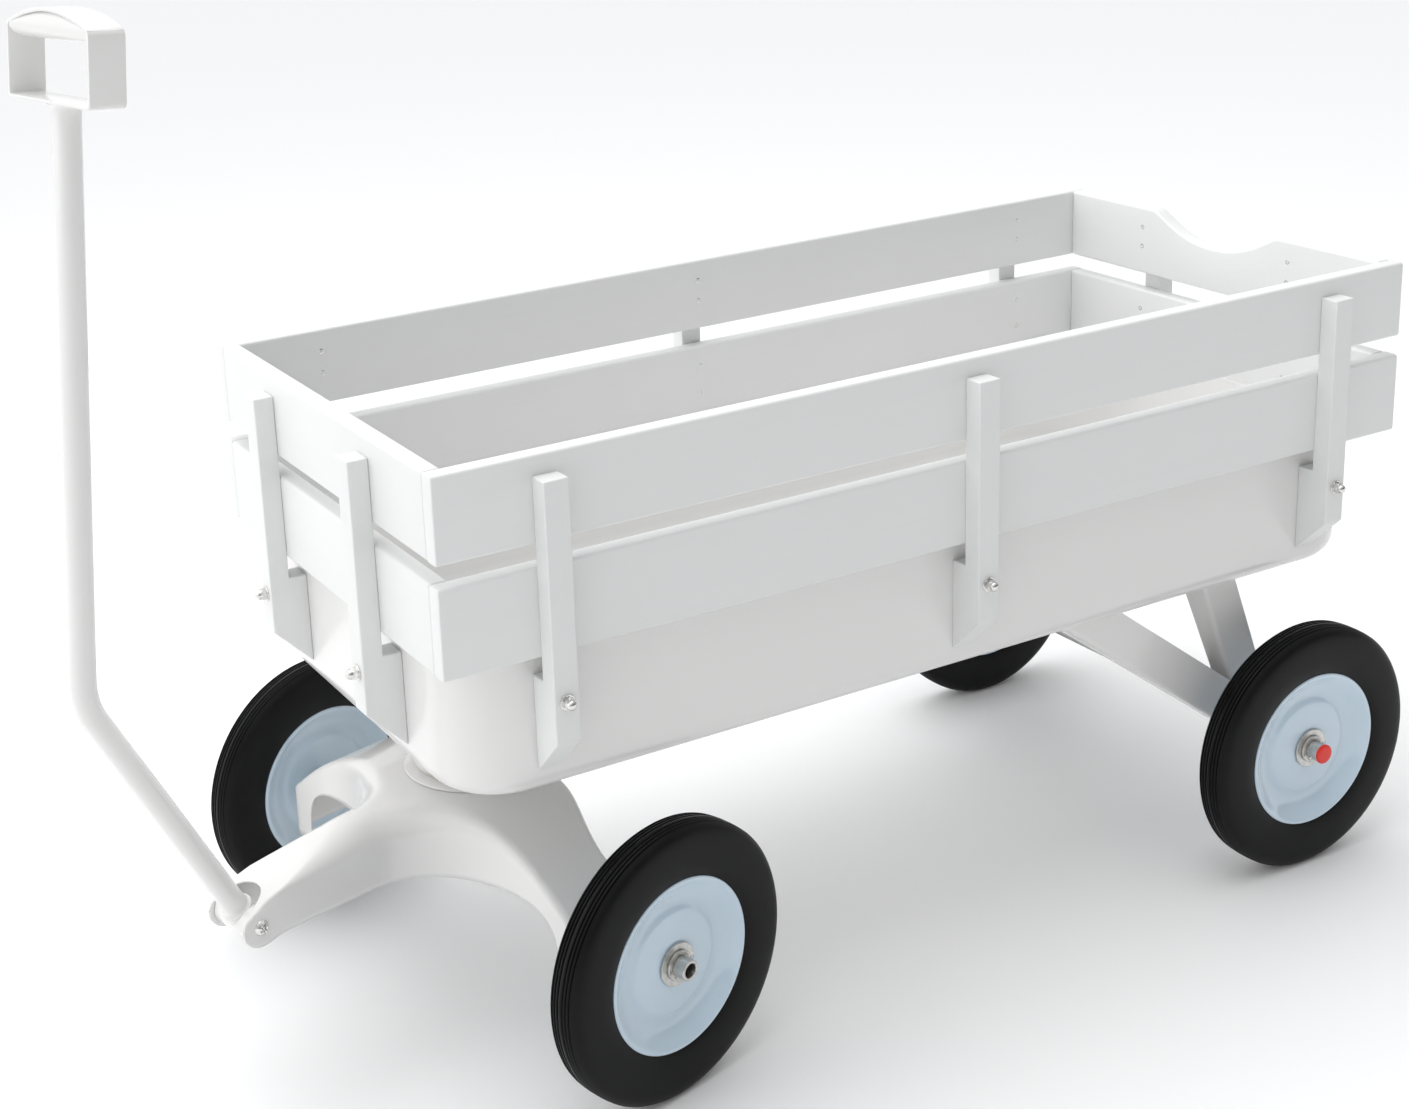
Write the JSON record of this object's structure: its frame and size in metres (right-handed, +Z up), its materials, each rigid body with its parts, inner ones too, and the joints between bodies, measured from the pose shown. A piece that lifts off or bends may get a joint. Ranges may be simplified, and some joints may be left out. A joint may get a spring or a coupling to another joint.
{
  "type": "wagon with pull handle",
  "caption": "Stake-side children's pull wagon: pressed steel tray, tiered wooden boards on stakes, steered front axle under a saddle, tilting bent-tube handle, solid-tyred wheels.",
  "frame": {"origin": "bottom centre of the whole wagon's bounding box, on the ground, in the stored pose", "axes": "+X forwards towards the pull handle, +Y to the wagon's left, +Z up"},
  "size_m": [1.3352, 0.5712, 0.966],
  "materials": {
    "white_enamel": "gloss warm-white baked enamel on pressed steel",
    "white_wood": "smooth boards with opaque satin white paint",
    "rubber": "matt black solid rubber",
    "blue_grey_enamel": "gloss pale steel-blue enamel",
    "zinc_steel": "zinc-plated steel",
    "bright_steel": "bright plated fasteners",
    "red_plastic": "push-in red cap",
    "nylon": "natural nylon bearing ring"
  },
  "bodies": {
    "body": {"tray": "white_enamel", "left_upper_board": "white_wood", "right_upper_board": "white_wood", "front_upper_board": "white_wood", "rear_upper_board": "white_wood", "left_lower_board": "white_wood", "right_lower_board": "white_wood", "front_lower_board": "white_wood", "rear_lower_board": "white_wood", "left_stake_front": "white_wood", "left_stake_middle": "white_wood", "left_stake_rear": "white_wood", "right_stake_front": "white_wood", "right_stake_middle": "white_wood", "right_stake_rear": "white_wood", "front_stake_left": "white_wood", "front_stake_right": "white_wood", "rear_stake_left": "white_wood", "rear_stake_right": "white_wood", "stake_bolts": "bright_steel", "stake_washers": "bright_steel", "stake_cap_nuts": "bright_steel", "board_screws": "bright_steel", "rear_strut_left": "white_enamel", "rear_strut_right": "white_enamel", "rear_upright_left": "white_enamel", "rear_upright_right": "white_enamel", "leg_plates": "white_enamel", "turntable_mount": "white_enamel", "rear_axle": "zinc_steel", "rear_axle_sleeves": "zinc_steel", "rear_axle_keepers": "zinc_steel", "kingpin": "zinc_steel", "kingpin_nut": "zinc_steel", "under_bolts": "zinc_steel", "turntable_bearing": "nylon", "axle_caps": "red_plastic"},
    "steering": {"saddle": "white_enamel", "turntable_plate": "white_enamel", "kingpin_sleeve": "white_enamel", "front_axle": "zinc_steel", "front_axle_sleeves": "zinc_steel", "front_axle_keepers": "zinc_steel", "hinge_bolt": "bright_steel", "hinge_nut": "bright_steel"},
    "handle": {"handle_barrel": "white_enamel", "handle_tube": "white_enamel", "grip": "white_enamel"},
    "front_left_wheel": {"front_left_tyre": "rubber", "front_left_discs": "blue_grey_enamel", "front_left_hub": "zinc_steel"},
    "front_right_wheel": {"front_right_tyre": "rubber", "front_right_discs": "blue_grey_enamel", "front_right_hub": "zinc_steel"},
    "rear_left_wheel": {"rear_left_tyre": "rubber", "rear_left_discs": "blue_grey_enamel", "rear_left_hub": "zinc_steel"},
    "rear_right_wheel": {"rear_right_tyre": "rubber", "rear_right_discs": "blue_grey_enamel", "rear_right_hub": "zinc_steel"}
  },
  "joints": [
    {"name": "steering_swivel", "type": "hinge", "parent": "body", "child": "steering", "pos_m": [0.28127, 0, 0.236], "axis": [0, 0, 1], "range_deg": [-64, 36]},
    {"name": "handle_tilt", "type": "hinge", "parent": "steering", "child": "handle", "pos_m": [0.53549, 0.06338, 0.182], "axis": [-0.2419, 0.9703, 0], "range_deg": [-12, 92]},
    {"name": "front_left_wheel_spin", "type": "hinge", "parent": "steering", "child": "front_left_wheel", "pos_m": [0.22127, 0.24063, 0.127], "axis": [-0.2419, 0.9703, 0], "continuous": true},
    {"name": "front_right_wheel_spin", "type": "hinge", "parent": "steering", "child": "front_right_wheel", "pos_m": [0.34126, -0.24063, 0.127], "axis": [-0.2419, 0.9703, 0], "continuous": true},
    {"name": "rear_left_wheel_spin", "type": "hinge", "parent": "body", "child": "rear_left_wheel", "pos_m": [-0.51873, 0.248, 0.127], "axis": [0, 1, 0], "continuous": true},
    {"name": "rear_right_wheel_spin", "type": "hinge", "parent": "body", "child": "rear_right_wheel", "pos_m": [-0.51873, -0.248, 0.127], "axis": [0, 1, 0], "continuous": true}
  ]
}
